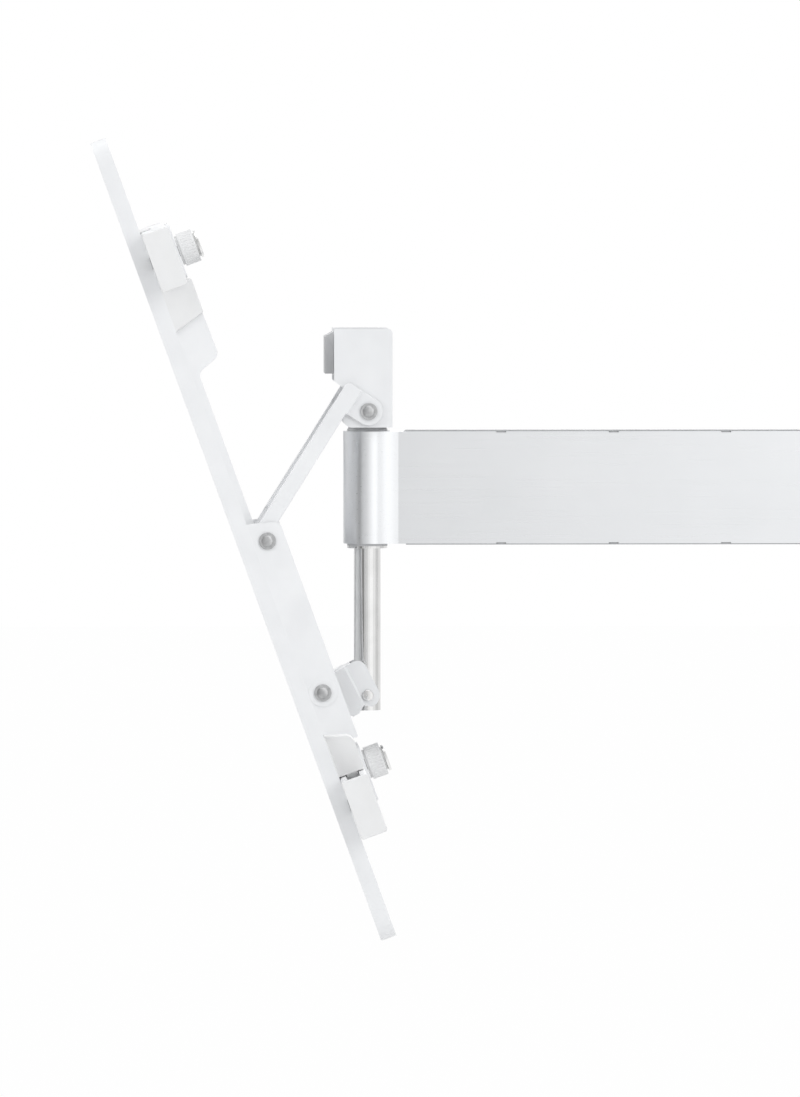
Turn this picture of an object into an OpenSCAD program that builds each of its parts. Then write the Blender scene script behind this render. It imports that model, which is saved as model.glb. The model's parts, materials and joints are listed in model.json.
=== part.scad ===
// Swivel wall mount: wall bracket, two-part swing arm, swivelling head with a four-bar tilt linkage,
// and a carrier of two rails and two uprights with a 400 x 400 mm hole pattern.
// X runs across, the wall is the plane Y = 0 and the mount reaches along -Y, +Z is up.
// Z = 0 is the arm's mid height. The origin is the centre of the wall bolts, on the wall.

/* [Reach] */
// Wall to the first upright pivot
wall_off = 40; // [36:1:60]
// Inner arm, pivot to pivot
inner_len = 440; // [240:5:460]
// Outer arm, pivot to pivot
outer_len = 270; // [210:5:360]

/* [Arm section] */
// Height of the outer arm
arm_h = 58.4; // [48:0.4:76]
// Radius of the rounded arm ends
nose_r = 12.5; // [12:0.5:16]
// Thickness of the arm between its ends
band_t = 16; // [13:0.5:20]
// Distance from a pivot to where the arm is flat
blend_len = 18; // [16:0.5:26]
// Wall of the hollow arm
arm_wall = 2.5; // [2:0.1:3.5]
// Height of each of the two bars of the inner arm
bar_h = 26; // [20:1:34]
// Spacing of the cover clips and of the ribs inside the arm
clip_pitch = 58.5; // [40:0.5:70]
// Distance from the head pivot to the first clip
clip_start = 69.4; // [50:0.1:80]

/* [Pivots] */
// Radius of the head shaft
shaft_r = 7; // [6:0.2:8]
// Depth of the head shaft's end below the arm's mid height
shaft_drop = 116; // [105:1:140]
// Radius of the wall and elbow pins
swing_r = 6; // [5:0.25:7]
// Radius of the bush flanges
flange_r = 10.5; // [9.5:0.25:12]
// Thickness of the bush flanges
flange_t = 2.4; // [1.6:0.2:3]
// Running clearance of a shaft in its bush
run_fit = 0.05; // [0.02:0.01:0.1]

/* [Tilt] */
// Lean of the carrier at rest
tilt = 20; // [0:1:20]
// Height of the upper link's pivot on the head
top_pivot_z = 40; // [38:0.5:46]
// Depth of the lower link's pivot on the shaft
low_pivot_z = 108; // [100:0.5:130]
// Distance of the carrier's upper pivot in front of the shaft
carrier_front = 52.5; // [40:0.5:60]
// Depth of the carrier's upper pivot below the arm's mid height
carrier_drop = 26.8; // [20:0.2:34]
// Spacing of the carrier's two pivots
pivot_gap = 83.6; // [78:0.2:90]
// Radius of the link pins
pin_r = 2.8; // [2.5:0.1:3.5]
// Radius of the lower link's shaft pin
cross_r = 2.9; // [2.4:0.1:3.4]

/* [Head] */
// Thickness of the bent steel sheet
sheet = 2; // [1.5:0.1:2.5]
// Half width of the head bracket, outside
head_half = 25.5; // [25:0.5:28]
// Half width of the spine, outside
spine_half = 21; // [20:0.5:22]
// Height of the head bracket's top
head_top = 82.6; // [78:0.2:92]

/* [Carrier] */
// Length of the rails
rail_len = 500; // [470:5:720]
// Depth of a rail, front to back
rail_d = 13.3; // [12:0.1:16]
// Height of a rail
rail_h = 29.8; // [26:0.2:34]
// Wall of a rail
rail_wall = 2; // [1.6:0.1:2.5]
// Height of the upper rail above the upper pivot
rail_up = 156.8; // [150:0.1:175]
// Depth of the lower rail below the upper pivot
rail_down = 131.6; // [124:0.1:150]
// Width of the slots in the rails
rail_slot = 6.8; // [6.6:0.1:9]
// Length of the uprights
upright_len = 424; // [420:1:480]
// Width of the uprights
upright_w = 30; // [26:1:40]
// Depth of the uprights
upright_d = 8; // [6.5:0.1:8.2]
// Spacing of the mounting holes, across and along
hole_gap = 400; // [300:10:400]
// Radius of the mounting holes
hole_r = 4.5; // [3:0.25:4.5]

/* [Knobs] */
// Height of the upper knob above the upper pivot
knob_up = 156.1; // [150:0.1:165]
// Depth of the lower knob below the upper pivot
knob_down = 128.2; // [122:0.1:134]
// Radius of a clamp knob
knob_r = 8.7; // [8:0.05:10]
// Length of a clamp knob, without its end disc
knob_len = 9.4; // [8:0.1:14]

/* [Wall bracket] */
// Width of the wall plate
plate_w = 90; // [84:1:110]
// Height of the wall plate
plate_h = 220; // [210:2:260]
// Thickness of the wall plate
plate_t = 4; // [3:0.5:6]
// Spacing of the wall bolts, across
bolt_x = 60; // [50:1:66]
// Spacing of the wall bolts, up and down
bolt_z = 180; // [160:2:186]
// Radius of the wall bolt holes
bolt_r = 4.5; // [3.5:0.25:5]
// Depth of the wall cover
cover_d = 22; // [16:1:24]

/* [Hidden] */
$fn = 96;

// Small gaps: between flat faces of moving pieces, and between fitted ones
gap = 0.5;
seat = 0.3;
// Clamp bolts and the clearance holes they pass through
clamp_r = 3;
clamp_hole = clamp_r + 0.3;
half_h = arm_h / 2;
bar_z = half_h + flange_t;
reach_elbow = wall_off + inner_len;
reach_head = reach_elbow + outer_len;

// The arm's side runs from the round end into the flat through one hollow curve
half_t = band_t / 2;
blend_ang = 2 * atan((nose_r - half_t) / blend_len);
blend_r = blend_len / sin(blend_ang) - nose_r;
// The blends are cut this much deeper than tangent, so that the outlines cross
blend_sink = 0.1;

// Where the carrier's lower pivot and the links lie at rest
low_y = -carrier_front + pivot_gap * sin(tilt);
low_z = -carrier_drop - pivot_gap * cos(tilt);

// The upper link's strip runs at a small angle to the line between its pivots
strip_w = 8.2;
strip_at_top = 17.7;
strip_at_low = 8.5;
link_dy = -carrier_front;
link_dz = -carrier_drop - top_pivot_z;
link_len = norm([link_dy, link_dz]);
strip_turn = asin((strip_at_top - strip_at_low) / link_len);
link_ang = atan2(-link_dy, -link_dz) - strip_turn;
strip_run = link_len * cos(strip_turn);
strip_in = spine_half + 7;
strip_out = strip_in + sheet;
ear_r = 7.3;

// The lower link's frame: its top edge climbs towards the wall at this angle at rest
low_link_ang = 27.5;
low_dy = low_y;
low_dz = low_z + low_pivot_z;
ear_in = shaft_r + 1;
ear_out = ear_in + sheet;
low_half = ear_out + 5;
slack = 2.6;

// The cheek bracket lies outside the upper link's strips
cheek_in = strip_out + 0.8;
cheek_out = cheek_in + sheet;
front = -15.6;
web_rear = front + 0.6 + 2 * sheet;
pad_t = 3.7;
rail_front = web_rear + pad_t;
rail_rear = rail_front + rail_d;
rail_mid = (rail_front + rail_rear) / 2;
cheek_edge = 9.4;
spine_edge = -3.6;
spine_wide = 8.6;
spine_cut_low = 7.3;
spine_cut_high = 94;
cap_low = 115.8;
cap_rise = 6.6;
plate_rear = rail_rear + 2.2;
upright_x = hole_gap / 2;
upright_mid = 11.5;
upright_rear = front + upright_d;
lock_h = 21.7;
lock_half = 9;
lock_base = -rail_down + rail_h / 2 + 0.4;

white_steel = [0.93, 0.93, 0.935];
white_plastic = [0.9, 0.9, 0.905];
silver = [0.84, 0.85, 0.86];
chrome = [0.8, 0.8, 0.8];
zinc = [0.55, 0.55, 0.56];
grey = [0.6, 0.6, 0.62];

// Frames of reference
module at_wall() { translate([0, -wall_off, 0]) children(); }
module at_elbow() { translate([0, -reach_elbow, 0]) children(); }
module at_head() { translate([0, -reach_head, 0]) children(); }
// In the carrier's frame Y runs away from the screen side and Z along the uprights, from the upper pivot
module on_carrier() {
    at_head() translate([0, -carrier_front, -carrier_drop]) rotate([tilt, 0, 0]) children();
}
module both_sides() {
    children();
    mirror([1, 0, 0]) children();
}

// An outline drawn in Y and Z, from x to x + t
module side(x, t) { translate([x, 0, 0]) rotate([90, 0, 90]) linear_extrude(t) children(); }
// A pin along X
module cross(r, x0, x1) { translate([x0, 0, 0]) rotate([0, 90, 0]) cylinder(r = r, h = x1 - x0); }
// A pin along Y
module along(r, y0, y1) { translate([0, y1, 0]) rotate([90, 0, 0]) cylinder(r = r, h = y1 - y0); }
module box(x0, x1, y0, y1, z0, z1) { translate([x0, y0, z0]) cube([x1 - x0, y1 - y0, z1 - z0]); }
module round_rect(w, h, r) {
    square([w - 2 * r, h], center = true);
    square([w, h - 2 * r], center = true);
    for (x = [-1, 1], y = [-1, 1]) translate([x * (w / 2 - r), y * (h / 2 - r)]) circle(r);
}
module slot_2d(len, r) {
    square([2 * r, len - 2 * r], center = true);
    for (s = [-1, 1]) translate([0, s * (len / 2 - r)]) circle(r);
}

// The arm's plan: round ends, hollow blends and a flat band, from the pivot at 0 to one at -len
module arm_blend() {
    tip_x = nose_r * cos(blend_ang);
    tip_y = nose_r * sin(blend_ang);
    difference() {
        polygon([[0, 0], [tip_x, -tip_y], [tip_x, -blend_len], [-tip_x, -blend_len], [-tip_x, -tip_y]]);
        for (s = [-1, 1]) translate([s * (half_t + blend_r), -blend_len]) circle(blend_r + blend_sink, $fn = 192);
    }
}
module arm_body(len, h) {
    cylinder(r = nose_r, h = h);
    translate([0, -len, 0]) cylinder(r = nose_r, h = h);
    box(-half_t, half_t, -len + blend_len - 2, -blend_len + 2, 0, h);
    linear_extrude(h) arm_blend();
    translate([0, -len, 0]) mirror([0, 1, 0]) linear_extrude(h) arm_blend();
}
// The ribs stand under the clips, counted from the far end of the arm
function clip_list(len) = [for (y = [clip_start : clip_pitch : len - blend_len - 4]) y];
module arm_cells(len) {
    ends = concat([nose_r + 5], clip_list(len), [len - nose_r - 5]);
    for (i = [0 : len(ends) - 2]) {
        from = ends[i] + arm_wall / 2;
        size = ends[i + 1] - ends[i] - arm_wall;
        if (size > 4) translate([-half_t + arm_wall, -len + from]) square([band_t - 2 * arm_wall, size]);
    }
}
// One hollow bar with its pivot bores, and notches for the clips of the covers at top and bottom
module arm_bar(len, z0, z1, bore_near, bore_far) {
    difference() {
        translate([0, 0, z0]) arm_body(len, z1 - z0);
        translate([0, 0, z0 - 1]) linear_extrude(z1 - z0 + 2) arm_cells(len);
        translate([0, 0, z0 - 1]) cylinder(r = bore_near, h = z1 - z0 + 2);
        translate([0, -len, z0 - 1]) cylinder(r = bore_far, h = z1 - z0 + 2);
        for (y = clip_list(len), z = [z0, z1]) {
            box(-half_t - 1, half_t + 1, -len + y - 2.5, -len + y + 2.5, z - 0.6, z + 0.6);
        }
    }
}
// A cover strip on one face of a bar: dir is +1 for the top, -1 for the bottom
module arm_cover(len, z, dir) {
    lip = 0.5;
    plug = 5;
    inner = band_t - 2 * arm_wall - 2 * seat;
    ends = concat([nose_r + 5], clip_list(len), [len - nose_r - 5]);
    translate([0, 0, z]) mirror([0, 0, dir > 0 ? 0 : 1]) {
        box(-half_t + 0.3, half_t - 0.3, -len + blend_len + 2, -blend_len - 2, 0, lip);
        for (i = [0 : len(ends) - 2]) {
            from = ends[i] + arm_wall / 2 + seat;
            to = ends[i + 1] - arm_wall / 2 - seat;
            if (to - from > 4) difference() {
                box(-inner / 2, inner / 2, -len + from, -len + to, -plug, 0.1);
                box(-inner / 2 + 1.2, inner / 2 - 1.2, -len + from + 1.2, -len + to - 1.2, -plug - 1, -0.8);
            }
        }
        for (y = clip_list(len)) {
            box(-half_t + 0.3, half_t - 0.3, -len + y - 2.1, -len + y + 2.1, -0.5, 0.1);
        }
    }
}
// A flanged bush pair for a bore through a bar between z0 and z1
module bush_pair(shaft, body, z0, z1) {
    bush_len = 14;
    difference() {
        union() {
            translate([0, 0, z1]) cylinder(r = flange_r, h = flange_t / 2);
            translate([0, 0, z1 - bush_len]) cylinder(r = body, h = bush_len + flange_t / 2);
        }
        translate([0, 0, z1 - bush_len - 1]) cylinder(r = shaft + run_fit, h = bush_len + flange_t + 2);
    }
    difference() {
        union() {
            translate([0, 0, z0 - flange_t / 2]) cylinder(r = flange_r, h = flange_t / 2);
            translate([0, 0, z0 - flange_t / 2]) cylinder(r = body, h = bush_len + flange_t / 2);
        }
        translate([0, 0, z0 - flange_t - 1]) cylinder(r = shaft + run_fit, h = bush_len + flange_t + 2);
    }
}
// The thin wear washers between a bush and the piece it turns against
washer_r = flange_r - 0.5;
module thrust_pair(shaft) {
    for (s = [0, 1]) mirror([0, 0, s]) translate([0, 0, half_h + flange_t / 2]) difference() {
        cylinder(r = washer_r, h = flange_t / 2);
        translate([0, 0, -1]) cylinder(r = shaft + run_fit, h = flange_t + 2);
    }
}
module swing_pin() {
    translate([0, 0, -bar_z - bar_h]) cylinder(r = swing_r, h = 2 * (bar_z + bar_h));
}
// Low domed caps that close the pin bores of the inner arm
module swing_caps() {
    cap_r = nose_r - 2;
    for (s = [0, 1]) mirror([0, 0, s]) translate([0, 0, bar_z + bar_h]) rotate_extrude() {
        square([cap_r - 1.5, 3]);
        square([cap_r, 1.5]);
        translate([cap_r - 1.5, 1.5]) intersection() {
            circle(1.5);
            square(2);
        }
    }
}

// Wall bracket
module bolt_places() {
    for (x = [-1, 1], z = [-1, 1]) translate([x * bolt_x / 2, 0, z * bolt_z / 2]) children();
}
block_screw_x = 21;
block_screw_z = 18;
module block_screw_places() {
    for (x = [-1, 1], z = [-1, 1]) translate([x * block_screw_x, 0, z * block_screw_z]) children();
}
module wall_plate() {
    color(white_steel) difference() {
        rotate([90, 0, 0]) linear_extrude(plate_t) round_rect(plate_w, plate_h, 8);
        bolt_places() along(bolt_r, -plate_t - 1, 1);
        block_screw_places() along(2.5, -plate_t - 1, 1);
        for (z = [-1, 1]) translate([0, 0, z * 62]) rotate([90, 0, 0]) linear_extrude(30, center = true)
            slot_2d(36, 10);
    }
}
base_t = 5;
module pivot_block() {
    color(silver) difference() {
        union() {
            translate([0, -wall_off, -half_h]) linear_extrude(arm_h) {
                circle(nose_r);
                mirror([0, 1]) arm_blend();
                translate([-half_t, blend_len - 2]) square([band_t, wall_off - blend_len - plate_t + 2]);
            }
            box(-29, 29, -plate_t - base_t, -plate_t, -half_h, half_h);
        }
        translate([0, -wall_off, -half_h - 1]) cylinder(r = swing_r + 2.5, h = arm_h + 2);
        block_screw_places() along(3.1, -plate_t - base_t - 1, 0);
    }
}
module block_screws() {
    color(zinc) block_screw_places() difference() {
        union() {
            along(5, -plate_t - base_t - 3.5, -plate_t - base_t);
            along(2.5, -plate_t - base_t, -0.5);
        }
        translate([0, -plate_t - base_t - 1.5, 0]) rotate([90, 0, 0]) cylinder(r = 2.6, h = 3, $fn = 6);
    }
}
module wall_cover() {
    wall = 2;
    out_w = plate_w + 2 * (wall + seat);
    out_h = plate_h + 2 * (wall + seat);
    color(white_plastic) difference() {
        translate([0, -0.3, 0]) rotate([90, 0, 0]) linear_extrude(cover_d - 0.3) round_rect(out_w, out_h, 10);
        translate([0, 1, 0]) rotate([90, 0, 0]) linear_extrude(cover_d - wall + 1)
            round_rect(out_w - 2 * wall, out_h - 2 * wall, 8);
        box(-half_t - 4.5, half_t + 4.5, -cover_d - 1, 0, -half_h - 1, half_h + 1);
    }
}
module wall_pin() { color(chrome) at_wall() swing_pin(); }
module wall_pin_caps() { color(grey) at_wall() swing_caps(); }
module wall_bushes() { color(grey) at_wall() bush_pair(swing_r, swing_r + 2.5, -half_h, half_h); }
module wall_washers() { color(grey) at_wall() thrust_pair(swing_r); }

// Inner arm: two bars, above and below the outer arm's height
module inner_bar(low) {
    z0 = low ? -bar_z - bar_h : bar_z;
    color(silver) at_wall() arm_bar(inner_len, z0, z0 + bar_h, swing_r, swing_r);
}
module inner_bar_upper() { inner_bar(false); }
module inner_bar_lower() { inner_bar(true); }
module inner_cover_upper() { color(white_plastic) at_wall() arm_cover(inner_len, bar_z + bar_h, 1); }
module inner_cover_lower() { color(white_plastic) at_wall() arm_cover(inner_len, -bar_z - bar_h, -1); }
module elbow_pin() { color(chrome) at_elbow() swing_pin(); }
module elbow_pin_caps() { color(grey) at_elbow() swing_caps(); }
module elbow_washers() { color(grey) at_elbow() thrust_pair(swing_r); }

// Outer arm
module outer_arm() {
    color(silver) at_elbow() arm_bar(outer_len, -half_h, half_h, swing_r + 2.5, shaft_r + 1.5);
}
module outer_cover_top() { color(grey) at_elbow() arm_cover(outer_len, half_h, 1); }
module outer_cover_bottom() { color(grey) at_elbow() arm_cover(outer_len, -half_h, -1); }
module elbow_bushes() { color(grey) at_elbow() bush_pair(swing_r, swing_r + 2.5, -half_h, half_h); }
module head_bushes() { color(grey) at_head() bush_pair(shaft_r, shaft_r + 1.5, -half_h, half_h); }
module head_washer() {
    color(grey) at_head() translate([0, 0, half_h + flange_t / 2]) difference() {
        cylinder(r = washer_r, h = bracket_z - half_h - flange_t / 2);
        translate([0, 0, -1]) cylinder(r = shaft_r + run_fit, h = flange_t + 2);
    }
}

// Head: shaft, bent bracket and the block that the carrier's spine rests on
bracket_z = half_h + flange_t;
module head_shaft() {
    collar_t = flange_t / 2;
    color(chrome) at_head() difference() {
        union() {
            translate([0, 0, -shaft_drop]) cylinder(r = shaft_r, h = shaft_drop + bracket_z + 3);
            translate([0, 0, -half_h - flange_t]) cylinder(r = flange_r, h = collar_t);
        }
        translate([0, 0, -low_pivot_z]) cross(cross_r, -20, 20);
    }
}
head_back = 12.4;
head_front = 17.8;
head_notch = 13.1;
module head_cheek_plan() {
    top_r = 2.4;
    low_r = 4.4;
    chamfer_low = bracket_z + 20.3;
    chamfer_high = bracket_z + 24;
    difference() {
        polygon([
            [-head_front, head_top], [head_back, head_top], [head_back, bracket_z],
            [-head_notch + low_r, bracket_z], [-head_notch + low_r, bracket_z + low_r],
            [-head_notch, bracket_z + low_r], [-head_notch, chamfer_low], [-head_front, chamfer_high]
        ]);
        translate([head_back - top_r, head_top - top_r]) difference() {
            square(top_r + 1);
            circle(top_r);
        }
    }
    translate([-head_notch + low_r, bracket_z + low_r]) circle(low_r);
}
module head_bracket() {
    web_low = bracket_z;
    color(white_steel) at_head() difference() {
        union() {
            both_sides() side(head_half - sheet, sheet) head_cheek_plan();
            box(-head_half + 1, head_half - 1, head_back - sheet, head_back, web_low, head_top - 2);
            box(-head_half + 1, head_half - 1, -head_notch + 4.4, head_back, bracket_z, bracket_z + 3);
        }
        translate([0, 0, top_pivot_z]) cross(pin_r, -40, 40);
        translate([0, 0, bracket_z - 1]) cylinder(r = shaft_r, h = 5);
        for (z = [-6, 6]) translate([0, 0, stop_mid + z]) along(2, 0, 20);
    }
}
stop_h = 20.3;
stop_mid = head_top - 3 - stop_h / 2;
stop_half = 15;
// The pad's face meets the spine's web when the carrier stands upright
stop_face = 22.4;
module stop_block() {
    color(grey) at_head() difference() {
        box(-stop_half, stop_half, -head_front, head_back - sheet, stop_mid - stop_h / 2, stop_mid + stop_h / 2);
        box(-stop_half + 2.5, stop_half - 2.5, -head_front + 3, head_back, stop_mid - 7.5, stop_mid + 7.5);
    }
}
module stop_pad() {
    color(grey) at_head() side(-stop_half, 2 * stop_half) {
        polygon([
            [-stop_face, stop_mid - stop_h / 2], [-head_front, stop_mid - stop_h / 2],
            [-head_front, stop_mid + stop_h / 2 + 1.6], [-stop_face, stop_mid + stop_h / 2 - 1]
        ]);
    }
}
// A pin with low domed ends, out to x on both sides
module pin_pair(r, x) {
    dome_h = 0.9;
    dome_r = 8;
    cross(r, -x, x);
    both_sides() translate([x, 0, 0]) rotate([0, 90, 0]) rotate_extrude() intersection() {
        translate([0, dome_h - dome_r]) circle(dome_r, $fn = 192);
        square([r, 2]);
    }
}
module washer_pair(r, hole, x0, x1) {
    both_sides() difference() {
        cross(r, x0, x1);
        cross(hole, x0 - 1, x1 + 1);
    }
}
ring_r = 4.45;
ear_x_in = head_half + gap;
ear_x_out = ear_x_in + sheet;
module top_pin() { color(zinc) at_head() translate([0, 0, top_pivot_z]) pin_pair(pin_r, ear_x_out + 1.3); }
module top_washers() {
    color(zinc) at_head() translate([0, 0, top_pivot_z]) washer_pair(ring_r, pin_r, ear_x_out + 0.1, ear_x_out + 1.1);
}
module cross_pin() {
    color(chrome) at_head() translate([0, 0, -low_pivot_z]) {
        pin_pair(cross_r, ear_out + 0.8);
    }
}

// Upper link: a strip with a lip along its front edge, and an ear pressed in at the head
module strip_plan() {
    front_r = 3;
    low_eye_r = 7.5;
    translate([-ear_r + front_r, 0]) square([strip_run + ear_r - front_r, strip_w]);
    translate([-ear_r, front_r]) square([front_r + 1, strip_w - front_r]);
    translate([-ear_r + front_r, front_r]) circle(front_r);
    translate([strip_run, strip_at_low]) circle(low_eye_r);
}
module ear_plan() {
    translate([0, strip_at_top]) circle(ear_r);
    translate([-ear_r, strip_w - 1]) square([2 * ear_r, strip_at_top - strip_w + 1]);
}
module link_frame() {
    at_head() translate([0, 0, top_pivot_z]) rotate([-link_ang, 0, 0]) children();
}
// In the link's frame Z runs up along the strip and Y across it, away from the lip
module in_link(x, t) {
    link_frame() side(x, t) translate([-strip_at_top, 0]) rotate(-90) children();
}
module upper_link() {
    lip_w = strip_out - spine_half - 1.5;
    difference() {
        union() {
            in_link(strip_in, sheet) strip_plan();
            in_link(ear_x_in, sheet) ear_plan();
            in_link(ear_x_in, strip_out - ear_x_in) translate([-ear_r, strip_w - 1.2]) square([2 * ear_r, sheet]);
            in_link(strip_out - lip_w, lip_w) translate([6, 0]) square([strip_run - 20, sheet]);
        }
        in_link(ear_x_in - 1, 10) translate([0, strip_at_top]) circle(pin_r + run_fit);
        in_link(ear_x_in - 1, 10) translate([strip_run, strip_at_low]) circle(pin_r + run_fit);
    }
}
module upper_link_right() { color(white_steel) upper_link(); }
module upper_link_left() { color(white_steel) mirror([1, 0, 0]) upper_link(); }

// Lower link: a short channel with its ears drawn in to straddle the shaft
module low_frame() {
    at_head() translate([0, 0, -low_pivot_z]) rotate([low_link_ang, 0, 0]) children();
}
link_top = 19;
ear_edge = 6.2;
crease = -5.3;
// The carrier's lower pivot in the link's own frame
low_a = low_dy * cos(low_link_ang) + low_dz * sin(low_link_ang);
low_b = -low_dy * sin(low_link_ang) + low_dz * cos(low_link_ang);
back_r = 8.2;
web_from = low_a - 4.5;
module low_flange_plan() {
    translate([low_a, low_b]) circle(back_r);
    polygon([
        [low_a, link_top], [crease + 1, link_top], [crease + 1, -4], [crease - 1.5, -6],
        [crease - 6.5, -6], [low_a, low_b - back_r]
    ]);
}
module low_ear_plan() {
    top_r = 5;
    circle(ear_edge);
    translate([crease, 0]) square([ear_edge - crease, link_top - top_r]);
    translate([crease, link_top - top_r - 1]) square([ear_edge - crease - top_r, top_r + 1]);
    translate([ear_edge - top_r, link_top - top_r]) circle(top_r);
}
module low_half_link() {
    side(low_half - sheet, sheet) low_flange_plan();
    side(ear_in, sheet) low_ear_plan();
    // The slope between the two planes
    translate([0, 0, -6]) linear_extrude(link_top + 6) polygon([
        [ear_in, crease + 2], [ear_out, crease + 2], [low_half, crease - 3.5], [low_half - sheet, crease - 3.5]
    ]);
}
module lower_link() {
    color(white_steel) low_frame() difference() {
        union() {
            both_sides() low_half_link();
            box(-low_half + 0.5, low_half - 0.5, web_from, crease - 2, link_top - sheet, link_top);
            box(-ear_out, ear_out, crease - 3, -0.6, link_top - sheet, link_top);
        }
        cross(cross_r + run_fit, -30, 30);
        translate([0, low_a, low_b]) cross(pin_r + slack, -30, 30);
        side(-30, 60) polygon([[crease - 4, -6.5], [crease + 5, -6.5], [crease + 1, -3.5]]);
    }
}

// Carrier: spine, cheeks and caps
spine_top = rail_up + rail_h / 2;
spine_low = -rail_down - rail_h / 2;
module spine_flange_plan() {
    corner_r = 4.4;
    fillet_r = 4;
    slope = 21;
    y0 = web_rear - sheet;
    high = rail_up - rail_h / 2 - 2.3;
    low = -rail_down + rail_h / 2 + 1.5;
    corner = [spine_wide + 0.8 - corner_r, spine_cut_high + 3 + corner_r];
    touch = corner + corner_r * [sin(slope), -cos(slope)];
    // The fillet's centre lies its own radius from the edge of the spine and below the sloping edge
    fillet_y = spine_edge + fillet_r;
    fillet_z = touch[1] - (touch[0] - fillet_y) * tan(slope) - fillet_r / cos(slope);
    difference() {
        union() {
            polygon([
                [y0, high], [spine_wide, high], [spine_wide + 0.8, corner[1]], corner, touch,
                [fillet_y - fillet_r * sin(slope), fillet_z + fillet_r * cos(slope)], [fillet_y, fillet_z],
                [spine_edge, fillet_z], [spine_edge, low], [y0, low]
            ]);
            translate(corner) circle(corner_r);
        }
        translate([fillet_y, fillet_z]) circle(fillet_r);
    }
}
module spine() {
    color(white_steel) on_carrier() difference() {
        union() {
            both_sides() side(spine_half - sheet, sheet) spine_flange_plan();
            box(-spine_half + 0.5, spine_half - 0.5, web_rear - sheet, web_rear, spine_low, spine_top);
        }
        for (z = [knob_up, -knob_down]) translate([0, 0, z]) along(clamp_hole, -30, 30);
        for (z = [30, 75]) translate([0, 0, z]) rotate([90, 0, 0]) linear_extrude(60, center = true) slot_2d(30, 7);
    }
}
module cheek_plan() {
    corner = 3.5;
    y0 = web_rear - 2 * sheet;
    low = -rail_down + rail_h / 2 + 5.5;
    difference() {
        polygon([
            [y0, spine_cut_low + 4], [spine_edge - 2, spine_cut_low + 4], [cheek_edge, spine_cut_low],
            [cheek_edge, low], [y0, low]
        ]);
        translate([cheek_edge - corner, spine_cut_low - corner + 0.6]) difference() {
            square(corner + 1);
            circle(corner);
        }
    }
}
boss_r = 7.3;
boss_t = 0.4;
module cheek_bracket() {
    low = -rail_down + rail_h / 2 + 5.5;
    color(white_steel) on_carrier() difference() {
        union() {
            both_sides() side(cheek_in, sheet) cheek_plan();
            both_sides() translate([0, 0, -pivot_gap]) cross(boss_r, cheek_out - 0.5, cheek_out + boss_t);
            box(-cheek_out + 0.5, cheek_out - 0.5, web_rear - 2 * sheet, web_rear - sheet, low, spine_cut_low + 4);
        }
        cross(pin_r, -60, 60);
        translate([0, 0, -pivot_gap]) cross(pin_r, -60, 60);
        for (z = [-25, -60]) translate([0, 0, z]) rotate([90, 0, 0]) linear_extrude(60, center = true)
            slot_2d(24, 6);
    }
}
module spine_cap() {
    wall = 1.8;
    in_x = spine_half + 0.2;
    top = rail_up - rail_h / 2 - 1.2;
    color(white_plastic) on_carrier() {
        both_sides() side(in_x, wall) polygon([
            [web_rear - sheet, cap_low], [spine_wide + 1, cap_low + cap_rise], [spine_wide + 1, top],
            [web_rear - sheet, top]
        ]);
        both_sides() box(spine_half - sheet, in_x + wall, web_rear, spine_wide, top - 1, top);
        box(-spine_half + sheet, spine_half - sheet, web_rear, spine_wide, top - 1, top);
    }
}
module carrier_pin() { color(zinc) on_carrier() pin_pair(pin_r, cheek_out + 1.2); }
module carrier_washers() { color(zinc) on_carrier() washer_pair(ring_r, pin_r, cheek_out, cheek_out + 1); }
module low_pin() {
    color(zinc) on_carrier() translate([0, 0, -pivot_gap]) pin_pair(pin_r, cheek_out + boss_t + 1.2);
}
module low_washers() {
    from = cheek_out + boss_t;
    color(zinc) on_carrier() translate([0, 0, -pivot_gap]) washer_pair(ring_r, pin_r, from, from + 1);
}

// Rails: hollow, slotted along the front for the sliders, and the lower one along the top for the locks
rail_end = 3;
rail_round = 1.2;
slot_from = 30;
slot_to = rail_len / 2 - 8;
// knob_z is the height of its clamp bolt
module rail(z, knob_z, top_slots) {
    on_carrier() translate([0, 0, z]) difference() {
        side(-rail_len / 2 + rail_end, rail_len - 2 * rail_end) difference() {
            translate([rail_mid, 0]) round_rect(rail_d, rail_h, rail_round);
            translate([rail_mid, 0]) square([rail_d - 2 * rail_wall, rail_h - 2 * rail_wall], center = true);
        }
        both_sides() side(slot_from, slot_to - slot_from) {
            translate([rail_front - 1, -rail_slot / 2]) square([rail_wall + 2, rail_slot]);
            if (top_slots) translate([rail_mid - rail_slot / 2, rail_h / 2 - rail_wall - 1])
                square([rail_slot, rail_wall + 2]);
        }
        translate([0, 0, knob_z - z]) along(clamp_hole, rail_front - 1, rail_rear + 1);
    }
}
module rail_upper() { color(white_steel) rail(rail_up, knob_up, false); }
module rail_lower() { color(white_steel) rail(-rail_down, -knob_down, true); }
module rail_caps(z) {
    plug = 6;
    in_d = rail_d - 2 * rail_wall - 2 * seat;
    in_h = rail_h - 2 * rail_wall - 2 * seat;
    on_carrier() translate([0, 0, z]) both_sides() {
        side(rail_len / 2 - rail_end, rail_end) translate([rail_mid, 0]) round_rect(rail_d + 0.4, rail_h + 0.4, rail_round);
        side(rail_len / 2 - rail_end - plug, plug + 0.1) translate([rail_mid, 0]) difference() {
            square([in_d, in_h], center = true);
            square([in_d - 3, in_h - 3], center = true);
        }
    }
}
module rail_caps_upper() { color(white_plastic) rail_caps(rail_up); }
module rail_caps_lower() { color(white_plastic) rail_caps(-rail_down); }
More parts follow.
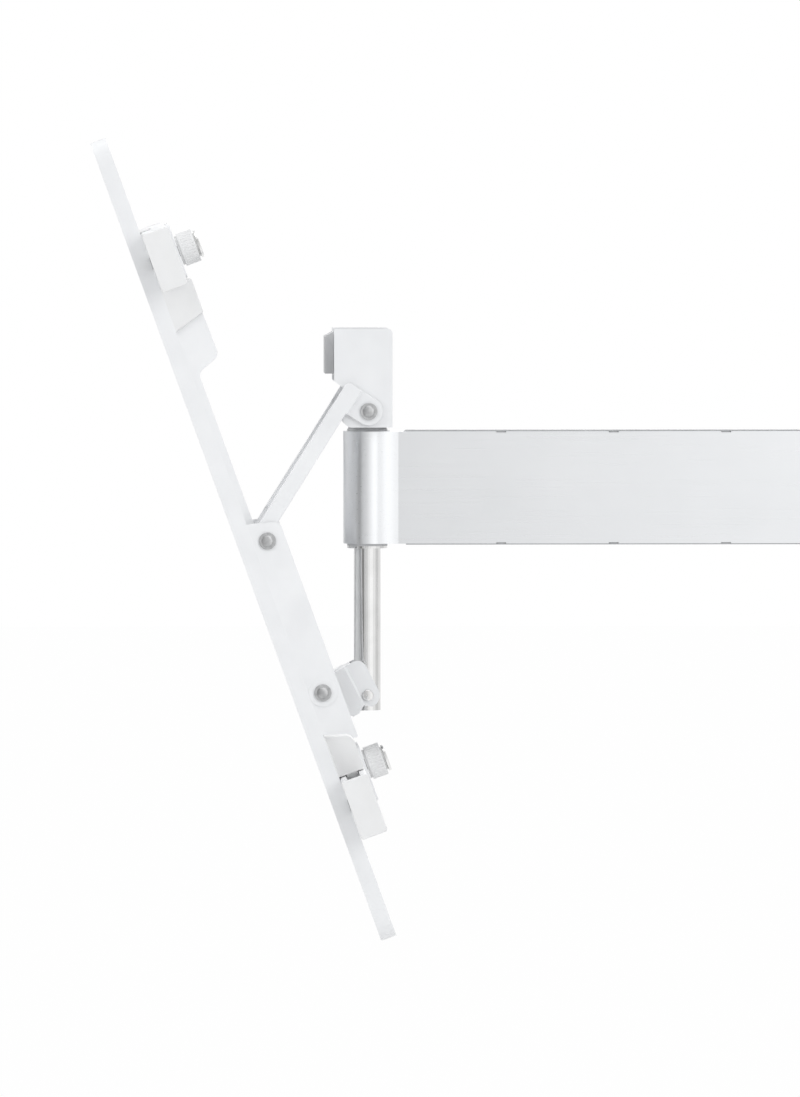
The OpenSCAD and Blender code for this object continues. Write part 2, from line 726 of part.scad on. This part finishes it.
// The saddle fills the space between the spine's web and a rail, and hooks over the rail's edges
module saddle(z, knob_z) {
    lip = 1;
    reach = rail_d * 0.45;
    on_carrier() translate([0, 0, z]) difference() {
        box(-19, 19, web_rear, rail_front + reach, -rail_h / 2 - lip, rail_h / 2 + lip);
        box(-20, 20, rail_front, rail_rear, -rail_h / 2, rail_h / 2);
        translate([0, 0, knob_z - z]) along(clamp_hole, -40, 10);
    }
}
module saddle_upper() { color(white_plastic) saddle(rail_up, knob_up); }
module saddle_lower() { color(white_plastic) saddle(-rail_down, -knob_down); }
module clamp_plate(z, knob_z) {
    on_carrier() translate([0, rail_rear, z]) difference() {
        translate([0, 2.2, 0]) rotate([90, 0, 0]) linear_extrude(2.2) round_rect(46, rail_h, 3);
        translate([0, 0, knob_z - z]) along(clamp_hole, -1, 5);
    }
}
module clamp_plate_upper() { color(white_steel) clamp_plate(rail_up, knob_up); }
module clamp_plate_lower() { color(white_steel) clamp_plate(-rail_down, -knob_down); }

// Knobs: a finely ribbed grip with an end disc behind a narrow groove
module knob(z) {
    grooves = 30;
    groove_r = 0.6;
    on_carrier() translate([0, plate_rear + 0.3, z]) rotate([-90, 0, 0]) difference() {
        union() {
            cylinder(r = knob_r - 1, h = 1.2);
            translate([0, 0, 1.2]) cylinder(r = knob_r, h = knob_len - 1.2);
        }
        for (i = [0 : grooves - 1]) rotate(i * 360 / grooves) translate([knob_r + groove_r - 0.25, 0, 2.4])
            cylinder(r = groove_r, h = knob_len - 3.6, $fn = 24);
        translate([0, 0, -1]) cylinder(r = clamp_r + run_fit, h = knob_len - 2);
    }
}
disc_r = knob_r - 1.4;
module knob_disc(z) {
    on_carrier() translate([0, plate_rear + 0.3 + knob_len, z]) rotate([-90, 0, 0]) difference() {
        union() {
            cylinder(r = disc_r - 1, h = 0.8);
            translate([0, 0, 0.8]) cylinder(r = disc_r, h = 1.5);
        }
        translate([0, 0, 1]) cylinder(r = 3, h = 3, $fn = 6);
    }
}
module knob_upper() { color(white_plastic) knob(knob_up); }
module knob_lower() { color(white_plastic) knob(-knob_down); }
module knob_disc_upper() { color(chrome) knob_disc(knob_up); }
module knob_disc_lower() { color(chrome) knob_disc(-knob_down); }
module clamp_bolts() {
    tip = plate_rear + 0.3 + knob_len - 3.4;
    color(zinc) on_carrier() for (z = [knob_up, -knob_down]) translate([0, 0, z]) {
        along(clamp_r, web_rear - sheet, tip);
        along(5.5, web_rear - sheet - 1.6, web_rear - sheet);
    }
}

// Uprights: shallow channels with round ends, holes at the corners and slots between
module upright_plan(inset) {
    r = 9;
    translate([0, upright_mid]) round_rect(upright_w - 2 * inset, upright_len - 2 * inset, r - inset);
}
module upright() {
    on_carrier() translate([upright_x, 0, 0]) difference() {
        translate([0, upright_rear, 0]) rotate([90, 0, 0]) linear_extrude(upright_d) upright_plan(0);
        translate([0, upright_rear + 1, 0]) rotate([90, 0, 0]) linear_extrude(upright_d - sheet + 1)
            upright_plan(sheet);
        for (s = [-1, 1]) translate([0, 0, upright_mid + s * hole_gap / 2]) along(hole_r, -30, 0);
        for (s = [-1, 1], d = [0.25, 0.125]) translate([0, 0, upright_mid + s * hole_gap * d])
            rotate([90, 0, 0]) linear_extrude(60, center = true) slot_2d(d * 120, 3.3);
        for (z = [rail_up, -rail_down]) translate([0, 0, z]) along(3, -30, 0);
    }
}
module upright_right() { color(white_steel) upright(); }
module upright_left() { color(white_steel) mirror([1, 0, 0]) upright(); }
module sliders() {
    head_front = rail_front + rail_wall + 0.25;
    on_carrier() for (z = [rail_up, -rail_down]) translate([upright_x, 0, z]) {
        along(3, front, head_front + 2);
        along(6.5, front + sheet, rail_front - 0.3);
        along(5.4, head_front, head_front + 2);
    }
}
module sliders_right() { color(zinc) sliders(); }
module sliders_left() { color(zinc) mirror([1, 0, 0]) sliders(); }

// Locks: a block on the upright above the lower rail. Its top slopes down away from the upright
lock_screw_z = lock_base + 9;
lock_head_y = rail_rear - 2.4;
module lock_plan() {
    corner_r = 4.5;
    slope = 16.5;
    top = lock_base + lock_h;
    corner_y = rail_rear - corner_r;
    corner_z = top - (corner_y - upright_rear) * tan(slope) - corner_r / cos(slope);
    polygon([
        [upright_rear, lock_base], [rail_rear, lock_base], [rail_rear, corner_z], [corner_y, corner_z],
        [corner_y + corner_r * sin(slope), corner_z + corner_r * cos(slope)], [upright_rear, top]
    ]);
    translate([corner_y, corner_z]) circle(corner_r);
}
module lock() {
    foot = upright_w / 2 - sheet - 0.3;
    on_carrier() translate([upright_x, 0, 0]) difference() {
        union() {
            side(-lock_half, 2 * lock_half) lock_plan();
            box(-foot, foot, front + sheet, upright_rear + 0.1, lock_base, lock_base + lock_h);
        }
        translate([0, 0, lock_screw_z]) along(2.1, -2, 10);
        translate([0, 0, lock_screw_z]) along(4, lock_head_y, 10);
    }
}
module lock_right() { color(white_plastic) lock(); }
module lock_left() { color(white_plastic) mirror([1, 0, 0]) lock(); }
// The lock's screw, and the T-shaped foot that the lock holds in the rail's top slot
module lock_screw() {
    neck = rail_slot / 2 - 1.5;
    head = rail_slot / 2 - 0.5;
    on_carrier() translate([upright_x, 0, lock_screw_z]) difference() {
        union() {
            along(2, -1.5, lock_head_y);
            along(3.6, lock_head_y, rail_rear - 0.4);
        }
        translate([0, rail_rear + 1, 0]) rotate([90, 0, 0]) cylinder(r = 1.6, h = 2.6, $fn = 6);
    }
    on_carrier() translate([upright_x, 0, lock_base]) {
        box(-lock_half, lock_half + 2, rail_mid - head, rail_mid + head, -1.6, 0);
        box(-lock_half, lock_half + 2, rail_mid - neck, rail_mid + neck, -4.2, -1.5);
    }
}
module lock_screw_right() { color(zinc) lock_screw(); }
module lock_screw_left() { color(zinc) mirror([1, 0, 0]) lock_screw(); }

wall_plate();
pivot_block();
block_screws();
wall_cover();
wall_pin();
wall_pin_caps();
wall_bushes();
wall_washers();
inner_bar_upper();
inner_bar_lower();
inner_cover_upper();
inner_cover_lower();
elbow_pin();
elbow_pin_caps();
elbow_washers();
outer_arm();
outer_cover_top();
outer_cover_bottom();
elbow_bushes();
head_bushes();
head_washer();
head_shaft();
head_bracket();
stop_block();
stop_pad();
top_pin();
top_washers();
cross_pin();
upper_link_right();
upper_link_left();
lower_link();
spine();
cheek_bracket();
spine_cap();
carrier_pin();
carrier_washers();
low_pin();
low_washers();
rail_upper();
rail_lower();
rail_caps_upper();
rail_caps_lower();
saddle_upper();
saddle_lower();
clamp_plate_upper();
clamp_plate_lower();
knob_upper();
knob_lower();
knob_disc_upper();
knob_disc_lower();
clamp_bolts();
upright_right();
upright_left();
sliders_right();
sliders_left();
lock_right();
lock_left();
lock_screw_right();
lock_screw_left();
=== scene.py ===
import json
import math

import bpy
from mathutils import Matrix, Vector


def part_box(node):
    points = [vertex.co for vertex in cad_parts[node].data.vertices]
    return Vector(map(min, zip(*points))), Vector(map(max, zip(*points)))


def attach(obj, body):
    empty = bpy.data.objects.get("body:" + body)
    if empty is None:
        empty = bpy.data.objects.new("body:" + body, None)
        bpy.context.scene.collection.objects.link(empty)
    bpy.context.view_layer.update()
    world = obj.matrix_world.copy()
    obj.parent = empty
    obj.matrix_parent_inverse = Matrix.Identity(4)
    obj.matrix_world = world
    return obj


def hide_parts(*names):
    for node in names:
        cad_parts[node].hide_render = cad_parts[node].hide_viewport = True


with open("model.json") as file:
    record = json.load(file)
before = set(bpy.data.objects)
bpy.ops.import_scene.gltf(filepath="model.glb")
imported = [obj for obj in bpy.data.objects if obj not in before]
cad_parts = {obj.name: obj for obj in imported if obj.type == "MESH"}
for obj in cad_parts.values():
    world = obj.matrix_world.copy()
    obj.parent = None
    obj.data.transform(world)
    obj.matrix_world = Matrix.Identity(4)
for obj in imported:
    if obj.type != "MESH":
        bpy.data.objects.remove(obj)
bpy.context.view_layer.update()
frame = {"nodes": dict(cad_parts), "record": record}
bodies = frame["record"]["behaviour"]["bodies"]
bodyOfNode = {node: body for body, nodes in bodies.items() for node in nodes}
mm = 0.001
print("frame loaded:", len(frame["nodes"]), "nodes")


# Everything in the studio is placed from the head's shaft: across, along the arm and up
shaftLow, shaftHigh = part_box("head_shaft")
shaftY = (shaftLow[1] + shaftHigh[1]) / 2


def fromShaft(place):
    return (place[0], shaftY + place[1], place[2])


def aim(thing, target):
    direction = Vector(target) - thing.location
    thing.rotation_euler = direction.to_track_quat("-Z", "Y").to_euler()


# Camera: level with the arm, square to its side, as far away as a long lens needs
cameraView = {
    "place": (5.115, -0.1375, 0.161),
    "target": (0, 0.017, -0.032),
    "lens": 323,
    "clipEnd": 60,
}


def addCamera():
    bpy.ops.object.camera_add(location=fromShaft(cameraView["place"]))
    camera = bpy.context.active_object
    aim(camera, fromShaft(cameraView["target"]))
    camera.data.lens = cameraView["lens"]
    camera.data.clip_end = cameraView["clipEnd"]
    bpy.context.scene.camera = camera


# Studio: soft lamps, a pale floor, and cards that only reflections see
studio = {
    "ambient": 0.6,
    "ambientTint": (0.97, 0.985, 1, 1),
    "backdropTint": (1, 1, 1, 1),
    "floorZ": -0.62,
    "floorSize": 24,
    "floorTint": (0.9, 0.9, 0.9, 1),
    "floorGlow": 0.985,
    "lamps": [
        {"name": "keyLamp", "place": (1.7, 1.25, 0.95), "size": (1.0, 1.4), "power": 14},
        {"name": "fillLamp", "place": (1.2, -1.5, 0.8), "size": (1.4, 1.4), "power": 9},
        {"name": "topLamp", "place": (0.1, 0.03, 1.9), "size": (1.8, 1.8), "power": 11},
        {"name": "farLamp", "place": (-2.0, 0.33, 0.8), "size": (1.6, 1.6), "power": 8},
    ],
    "lampTarget": (0, 0.08, 0),
    "cardRadius": 1.0,
    "cardHeight": 1.8,
    "cards": [
        {"angle": -150, "width": 42, "glow": 0.72},
        {"angle": -112, "width": 34, "glow": 0.72},
        {"angle": -82, "width": 28, "glow": 0.56},
        {"angle": -57, "width": 23, "glow": 0.46},
        {"angle": -38, "width": 16, "glow": 0.24},
        {"angle": -20, "width": 20, "glow": 0.62},
        {"angle": -3, "width": 15, "glow": 0.74},
        {"angle": 12, "width": 16, "glow": 0.95},
        {"angle": 34, "width": 29, "glow": 1.06},
        {"angle": 61, "width": 25, "glow": 0.90},
        {"angle": 90, "width": 33, "glow": 0.70},
        {"angle": 126, "width": 40, "glow": 0.85},
    ],
}


def addLamps():
    for lamp in studio["lamps"]:
        bpy.ops.object.light_add(type="AREA", location=fromShaft(lamp["place"]))
        light = bpy.context.active_object
        light.name = lamp["name"]
        light.data.shape = "RECTANGLE"
        light.data.size = lamp["size"][0]
        light.data.size_y = lamp["size"][1]
        light.data.energy = lamp["power"]
        aim(light, fromShaft(studio["lampTarget"]))


# 1 for a ray of either kind, else 0
def eitherRay(nodes, links, first, second):
    either = nodes.new("ShaderNodeMath")
    either.operation = "MAXIMUM"
    links.new(first, either.inputs[0])
    links.new(second, either.inputs[1])
    return either.outputs[0]


# Camera, reflections and clear pieces see the backdrop, and the rest gets the ambient light
def addWorld():
    world = bpy.data.worlds.new("studioWorld")
    bpy.context.scene.world = world
    world.use_nodes = True
    nodes = world.node_tree.nodes
    links = world.node_tree.links
    nodes.clear()
    rays = nodes.new("ShaderNodeLightPath")
    seen = eitherRay(nodes, links, rays.outputs["Is Camera Ray"], rays.outputs["Is Glossy Ray"])
    seen = eitherRay(nodes, links, seen, rays.outputs["Is Transmission Ray"])
    ambient = nodes.new("ShaderNodeBackground")
    ambient.inputs["Color"].default_value = studio["ambientTint"]
    ambient.inputs["Strength"].default_value = studio["ambient"]
    backdrop = nodes.new("ShaderNodeBackground")
    backdrop.inputs["Color"].default_value = studio["backdropTint"]
    mix = nodes.new("ShaderNodeMixShader")
    links.new(seen, mix.inputs[0])
    links.new(ambient.outputs[0], mix.inputs[1])
    links.new(backdrop.outputs[0], mix.inputs[2])
    out = nodes.new("ShaderNodeOutputWorld")
    links.new(mix.outputs[0], out.inputs["Surface"])


# The floor glows to the camera and in reflections, so that it meets the backdrop unseen
def addFloor():
    bpy.ops.mesh.primitive_plane_add(size=studio["floorSize"], location=(0, 0, studio["floorZ"]))
    floor = bpy.context.active_object
    floor.name = "floor"
    material = bpy.data.materials.new("paleFloor")
    material.use_nodes = True
    nodes = material.node_tree.nodes
    links = material.node_tree.links
    nodes.clear()
    matte = nodes.new("ShaderNodeBsdfDiffuse")
    matte.inputs["Color"].default_value = studio["floorTint"]
    glow = nodes.new("ShaderNodeEmission")
    rays = nodes.new("ShaderNodeLightPath")
    seen = eitherRay(nodes, links, rays.outputs["Is Camera Ray"], rays.outputs["Is Glossy Ray"])
    share = nodes.new("ShaderNodeMath")
    share.operation = "MULTIPLY"
    share.inputs[1].default_value = studio["floorGlow"]
    links.new(seen, share.inputs[0])
    mix = nodes.new("ShaderNodeMixShader")
    links.new(share.outputs[0], mix.inputs[0])
    links.new(matte.outputs[0], mix.inputs[1])
    links.new(glow.outputs[0], mix.inputs[2])
    out = nodes.new("ShaderNodeOutputMaterial")
    links.new(mix.outputs[0], out.inputs["Surface"])
    floor.data.materials.append(material)


# The cards stand in an arc round the shaft. Only mirror-like surfaces see them
def addCards():
    radius = studio["cardRadius"]
    for number, card in enumerate(studio["cards"]):
        turn = math.radians(card["angle"])
        place = (radius * math.cos(turn), radius * math.sin(turn), 0)
        bpy.ops.mesh.primitive_plane_add(size=1, location=fromShaft(place))
        plane = bpy.context.active_object
        plane.name = "card" + str(number)
        width = 2 * radius * math.tan(math.radians(card["width"] / 2))
        plane.scale = (width, studio["cardHeight"], 1)
        aim(plane, fromShaft((0, 0, 0)))
        material = bpy.data.materials.new("cardPaint" + str(number))
        material.use_nodes = True
        nodes = material.node_tree.nodes
        nodes.clear()
        glow = nodes.new("ShaderNodeEmission")
        glow.inputs["Strength"].default_value = card["glow"]
        out = nodes.new("ShaderNodeOutputMaterial")
        material.node_tree.links.new(glow.outputs[0], out.inputs["Surface"])
        plane.data.materials.append(material)
        plane.visible_camera = False
        plane.visible_diffuse = False
        plane.visible_shadow = False
        plane.visible_transmission = False


addCamera()
addLamps()
addWorld()
addFloor()
addCards()
bpy.context.scene.view_settings.view_transform = "Standard"
print("camera and studio ready")


# Finishes. Patterns read the piece's own place in metres
def startFinish(name, metallic=0):
    material = bpy.data.materials.new(name)
    material.use_nodes = True
    nodes = material.node_tree.nodes
    shader = nodes["Principled BSDF"]
    shader.inputs["Metallic"].default_value = metallic
    place = nodes.new("ShaderNodeTexCoord")
    return material, nodes, material.node_tree.links, shader, place


def addNoise(nodes, links, place, scale, detail=2.0, stretch=(1, 1, 1)):
    mapping = nodes.new("ShaderNodeMapping")
    mapping.inputs["Scale"].default_value = stretch
    links.new(place.outputs["Object"], mapping.inputs["Vector"])
    noise = nodes.new("ShaderNodeTexNoise")
    noise.inputs["Scale"].default_value = scale
    noise.inputs["Detail"].default_value = detail
    links.new(mapping.outputs["Vector"], noise.inputs["Vector"])
    return noise.outputs["Fac"]


# Noise keeps to its middle, so that part of it takes up the whole spread
noiseLow = 0.3
noiseHigh = 0.7


def addRange(nodes, links, source, low, high):
    spread = nodes.new("ShaderNodeMapRange")
    spread.inputs["From Min"].default_value = noiseLow
    spread.inputs["From Max"].default_value = noiseHigh
    spread.inputs["To Min"].default_value = low
    spread.inputs["To Max"].default_value = high
    links.new(source, spread.inputs["Value"])
    return spread.outputs["Result"]


def addTint(nodes, links, source, dark, light):
    ramp = nodes.new("ShaderNodeValToRGB")
    ramp.color_ramp.elements[0].position = noiseLow
    ramp.color_ramp.elements[0].color = (*dark, 1)
    ramp.color_ramp.elements[1].position = noiseHigh
    ramp.color_ramp.elements[1].color = (*light, 1)
    links.new(source, ramp.inputs["Fac"])
    return ramp.outputs["Color"]


def addBumps(nodes, links, shader, layers):
    normal = None
    for source, depth in layers:
        bump = nodes.new("ShaderNodeBump")
        bump.inputs["Strength"].default_value = 1
        bump.inputs["Distance"].default_value = depth
        links.new(source, bump.inputs["Height"])
        if normal is not None:
            links.new(normal, bump.inputs["Normal"])
        normal = bump.outputs["Normal"]
    links.new(normal, shader.inputs["Normal"])


# Powder coat: a satin skin with a shallow orange peel and fine grit
powderCoat = {
    "dark": (0.83, 0.835, 0.845), "light": (0.875, 0.88, 0.887), "cloudScale": 45,
    "peelScale": 520, "peelDetail": 1.0, "peelDepth": 0.02 * mm,
    "gritScale": 2600, "gritDepth": 0.004 * mm,
    "roughness": (0.36, 0.46),
}


def makePowderCoat(name, look):
    material, nodes, links, shader, place = startFinish(name)
    cloud = addNoise(nodes, links, place, look["cloudScale"])
    peel = addNoise(nodes, links, place, look["peelScale"], look["peelDetail"])
    grit = addNoise(nodes, links, place, look["gritScale"])
    tint = addTint(nodes, links, cloud, look["dark"], look["light"])
    links.new(tint, shader.inputs["Base Color"])
    links.new(addRange(nodes, links, peel, *look["roughness"]), shader.inputs["Roughness"])
    addBumps(nodes, links, shader, [(peel, look["peelDepth"]), (grit, look["gritDepth"])])
    return material


# Moulded plastic: a fine eroded grain all over
whiteMoulding = {
    "dark": (0.80, 0.80, 0.80), "light": (0.845, 0.845, 0.845), "cloudScale": 60,
    "grainScale": 1900, "grainDetail": 3.0, "grainDepth": 0.012 * mm,
    "roughness": (0.42, 0.56),
}
greyMoulding = {
    "dark": (0.33, 0.335, 0.345), "light": (0.40, 0.405, 0.415), "cloudScale": 60,
    "grainScale": 1500, "grainDetail": 3.0, "grainDepth": 0.015 * mm,
    "roughness": (0.45, 0.62),
}
paleMoulding = {
    "dark": (0.50, 0.503, 0.51), "light": (0.57, 0.573, 0.58), "cloudScale": 60,
    "grainScale": 1500, "grainDetail": 3.0, "grainDepth": 0.015 * mm,
    "roughness": (0.40, 0.55),
}


def makeMoulded(name, look):
    material, nodes, links, shader, place = startFinish(name)
    cloud = addNoise(nodes, links, place, look["cloudScale"])
    grain = addNoise(nodes, links, place, look["grainScale"], look["grainDetail"])
    tint = addTint(nodes, links, cloud, look["dark"], look["light"])
    links.new(tint, shader.inputs["Base Color"])
    links.new(addRange(nodes, links, grain, *look["roughness"]), shader.inputs["Roughness"])
    addBumps(nodes, links, shader, [(grain, look["grainDepth"])])
    return material


# Anodised extrusion: faint die lines along the arm in a satin skin
anodised = {
    "dark": (0.815, 0.828, 0.843), "light": (0.838, 0.85, 0.865), "cloudScale": 30,
    "lineScale": 2200, "lineStretch": (1, 0.006, 1), "lineDepth": 0.0022 * mm,
    "grainScale": 3500, "grainDetail": 1.0, "grainDepth": 0.001 * mm,
    "roughness": (0.27, 0.35),
}


def makeAnodised(name, look):
    material, nodes, links, shader, place = startFinish(name, metallic=1)
    cloud = addNoise(nodes, links, place, look["cloudScale"])
    lines = addNoise(nodes, links, place, look["lineScale"], stretch=look["lineStretch"])
    grain = addNoise(nodes, links, place, look["grainScale"], look["grainDetail"])
    tint = addTint(nodes, links, cloud, look["dark"], look["light"])
    links.new(tint, shader.inputs["Base Color"])
    links.new(addRange(nodes, links, lines, *look["roughness"]), shader.inputs["Roughness"])
    addBumps(nodes, links, shader, [(lines, look["lineDepth"]), (grain, look["grainDepth"])])
    return material


# Polished chrome with faint turning rings round the shaft
chromePlate = {
    "dark": (0.78, 0.78, 0.775), "light": (0.86, 0.86, 0.855), "cloudScale": 90,
    "ringScale": 1800, "ringStretch": (0.01, 0.01, 1), "ringDepth": 0.0006 * mm,
    "roughness": (0.05, 0.12),
}


def makeChrome(name, look):
    material, nodes, links, shader, place = startFinish(name, metallic=1)
    cloud = addNoise(nodes, links, place, look["cloudScale"])
    rings = addNoise(nodes, links, place, look["ringScale"], stretch=look["ringStretch"])
    tint = addTint(nodes, links, cloud, look["dark"], look["light"])
    links.new(tint, shader.inputs["Base Color"])
    links.new(addRange(nodes, links, cloud, *look["roughness"]), shader.inputs["Roughness"])
    addBumps(nodes, links, shader, [(rings, look["ringDepth"])])
    return material


# Zinc plated steel with a cloudy passivated skin
zincPlate = {
    "dark": (0.46, 0.465, 0.47), "light": (0.60, 0.605, 0.61), "cloudScale": 500,
    "cloudDetail": 3.0, "grainScale": 4000, "grainDetail": 1.0, "grainDepth": 0.002 * mm,
    "roughness": (0.30, 0.46),
}


def makeZinc(name, look):
    material, nodes, links, shader, place = startFinish(name, metallic=1)
    cloud = addNoise(nodes, links, place, look["cloudScale"], look["cloudDetail"])
    grain = addNoise(nodes, links, place, look["grainScale"], look["grainDetail"])
    tint = addTint(nodes, links, cloud, look["dark"], look["light"])
    links.new(tint, shader.inputs["Base Color"])
    links.new(addRange(nodes, links, cloud, *look["roughness"]), shader.inputs["Roughness"])
    addBumps(nodes, links, shader, [(grain, look["grainDepth"])])
    return material


finishes = {
    "white_steel": makePowderCoat("powderCoatWhite", powderCoat),
    "white_plastic": makeMoulded("mouldedWhite", whiteMoulding),
    "arm_silver": makeAnodised("anodisedSilver", anodised),
    "chrome": makeChrome("polishedChrome", chromePlate),
    "zinc": makeZinc("zincPlate", zincPlate),
    "grey_plastic": makeMoulded("mouldedGrey", greyMoulding),
}
palePlastic = makeMoulded("mouldedPale", paleMoulding)
print("finishes ready:", len(finishes) + 1)


# Rounded copies of the construction: real edges have a small radius, which catches the light
rounding = {"weld": 0.01 * mm, "flatAngle": 0.6, "cornerAngle": 28}


def deselectAll():
    bpy.ops.object.select_all(action="DESELECT")


def camelName(node):
    words = node.split("_")
    return words[0] + "".join(word.capitalize() for word in words[1:])


# Weld the loose triangles, join what lies flat, then round every edge that turns a corner
def roundedCopy(node, edge, segments, finish):
    deselectAll()
    mesh = frame["nodes"][node].data.copy()
    piece = bpy.data.objects.new(camelName(node), mesh)
    bpy.context.scene.collection.objects.link(piece)
    piece.select_set(True)
    bpy.context.view_layer.objects.active = piece
    bpy.ops.object.mode_set(mode="EDIT")
    bpy.ops.mesh.select_all(action="SELECT")
    bpy.ops.mesh.customdata_custom_splitnormals_clear()
    bpy.ops.mesh.remove_doubles(threshold=rounding["weld"])
    bpy.ops.mesh.dissolve_limited(angle_limit=math.radians(rounding["flatAngle"]))
    bpy.ops.object.mode_set(mode="OBJECT")
    bpy.ops.object.shade_smooth()
    bevel = piece.modifiers.new("roundEdges", "BEVEL")
    bevel.width = edge
    bevel.segments = segments
    bevel.limit_method = "ANGLE"
    bevel.angle_limit = math.radians(rounding["cornerAngle"])
    bevel.use_clamp_overlap = True
    bpy.ops.object.modifier_apply(modifier=bevel.name)
    weighted = piece.modifiers.new("flatFaces", "WEIGHTED_NORMAL")
    weighted.keep_sharp = True
    bpy.ops.object.modifier_apply(modifier=weighted.name)
    piece.data.materials.clear()
    piece.data.materials.append(finish)
    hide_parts(node)
    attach(piece, bodyOfNode[node])


roundings = [
    {"slot": "white_steel", "edge": 0.35 * mm, "segments": 3, "nodes": [
        "wall_plate", "head_bracket", "upper_link_right", "upper_link_left", "lower_link",
        "spine", "cheek_bracket", "rail_upper", "rail_lower", "clamp_plate_upper",
        "clamp_plate_lower", "upright_right", "upright_left"]},
    {"slot": "white_plastic", "edge": 0.5 * mm, "segments": 3, "nodes": [
        "wall_cover", "inner_cover_upper", "inner_cover_lower", "spine_cap",
        "rail_caps_upper", "rail_caps_lower", "saddle_upper", "saddle_lower",
        "knob_upper", "knob_lower", "lock_right", "lock_left"]},
    {"slot": "arm_silver", "edge": 0.3 * mm, "segments": 2, "nodes": [
        "pivot_block", "inner_bar_upper", "inner_bar_lower", "outer_arm"]},
    {"slot": "chrome", "edge": 0.3 * mm, "segments": 3, "nodes": [
        "head_shaft", "cross_pin", "wall_pin", "elbow_pin", "knob_disc_upper",
        "knob_disc_lower"]},
    {"slot": "zinc", "edge": 0.2 * mm, "segments": 2, "nodes": [
        "block_screws", "top_pin", "top_washers", "carrier_pin", "carrier_washers",
        "low_pin", "low_washers", "clamp_bolts", "sliders_right", "sliders_left",
        "lock_screw_right", "lock_screw_left"]},
    {"slot": "grey_plastic", "edge": 0.2 * mm, "segments": 2, "nodes": [
        "wall_pin_caps", "wall_bushes", "wall_washers", "elbow_pin_caps", "elbow_washers",
        "outer_cover_top", "outer_cover_bottom", "elbow_bushes"]},
    {"slot": "grey_plastic", "edge": 0.2 * mm, "segments": 2, "finish": palePlastic, "nodes": [
        "head_bushes", "head_washer", "stop_block", "stop_pad"]},
]
for group in roundings:
    finish = group.get("finish", finishes[group["slot"]])
    for node in group["nodes"]:
        roundedCopy(node, group["edge"], group["segments"], finish)
    print("rounded", group["slot"], len(group["nodes"]))

# Retaining rings: a spring wire lies round each pin, in the corner where it leaves its washer
retainers = {
    "slot": "zinc",
    "wire": 0.22 * mm,
    "radius": 2.95 * mm,
    "stepsRound": 72,
    "wireSides": 14,
    "pins": [
        {"pin": "top_pin", "washers": "top_washers"},
        {"pin": "carrier_pin", "washers": "carrier_washers"},
        {"pin": "low_pin", "washers": "low_washers"},
    ],
}


def ringRound(name, place, body, slot):
    deselectAll()
    bpy.ops.mesh.primitive_torus_add(
        major_radius=retainers["radius"], major_segments=retainers["stepsRound"],
        minor_radius=retainers["wire"], minor_segments=retainers["wireSides"],
        location=place, rotation=(0, math.pi / 2, 0))  # square to the pin
    ring = bpy.context.active_object
    ring.name = name
    bpy.ops.object.transform_apply(location=True, rotation=True, scale=True)
    bpy.ops.object.shade_smooth()
    ring.data.materials.append(finishes[slot])
    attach(ring, body)


for item in retainers["pins"]:
    low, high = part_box(item["pin"])
    washerLow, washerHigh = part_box(item["washers"])
    middle = ((low[1] + high[1]) / 2, (low[2] + high[2]) / 2)
    for side, x in (("Right", washerHigh[0]), ("Left", washerLow[0])):
        name = camelName(item["pin"]) + "Ring" + side
        ringRound(name, (x, *middle), bodyOfNode[item["pin"]], retainers["slot"])
print("retaining rings", 2 * len(retainers["pins"]))
